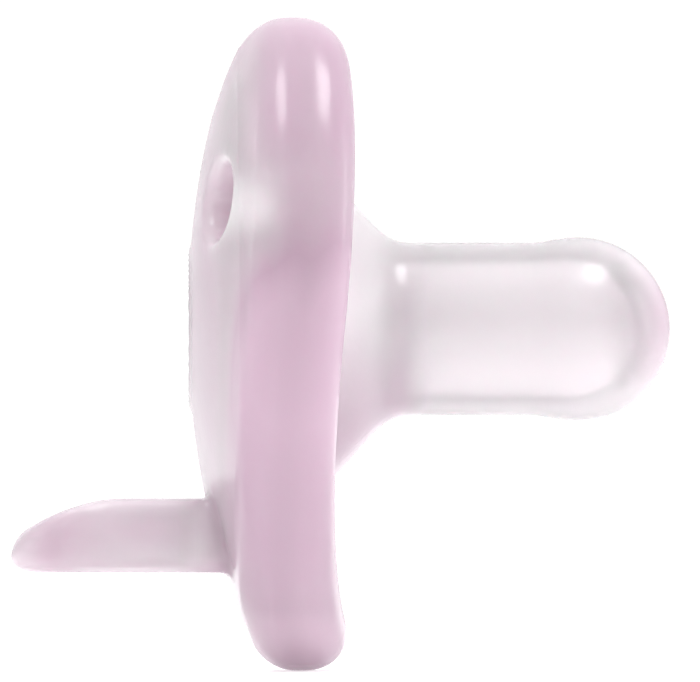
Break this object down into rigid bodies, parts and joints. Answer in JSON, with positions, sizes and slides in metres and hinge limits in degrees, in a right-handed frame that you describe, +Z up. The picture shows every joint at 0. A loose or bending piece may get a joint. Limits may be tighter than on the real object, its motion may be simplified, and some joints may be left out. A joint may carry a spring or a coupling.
{
  "type": "pacifier",
  "caption": "One-piece soft silicone pacifier: domed heart-shaped mouth shield with vent holes, hollow cylindrical nipple with rounded tip, and a short flexible handle loop.",
  "frame": {"origin": "on the nipple's axis, in the plane of the shield's mouth-side rim face; also the centre of the nipple's flexing root", "axes": "+X along the nipple towards the baby's mouth, +Z up towards the shield's two lobes, +Y across"},
  "size_m": [0.0533, 0.0538, 0.0526],
  "materials": {
    "shield_silicone": "hazy pink translucent liquid silicone, satin",
    "nipple_silicone": "hazy pink translucent liquid silicone, thin wall, satin",
    "handle_silicone": "hazy pink translucent liquid silicone, satin"
  },
  "bodies": {
    "shield": {"shield": "shield_silicone"},
    "nipple": {"nipple": "nipple_silicone"},
    "handle": {"handle_loop": "handle_silicone"}
  },
  "joints": [
    {"name": "nipple_flex", "type": "hinge", "parent": "shield", "child": "nipple", "pos_m": [0, 0, 0], "axis": [0, 1, 0], "range_deg": [-20, 20], "stiffness_Nm_per_rad": 0.03},
    {"name": "handle_fold", "type": "hinge", "parent": "shield", "child": "handle", "pos_m": [-0.014, 0, -0.0167], "axis": [0, 1, 0], "range_deg": [-35, 35], "stiffness_Nm_per_rad": 0.004}
  ]
}
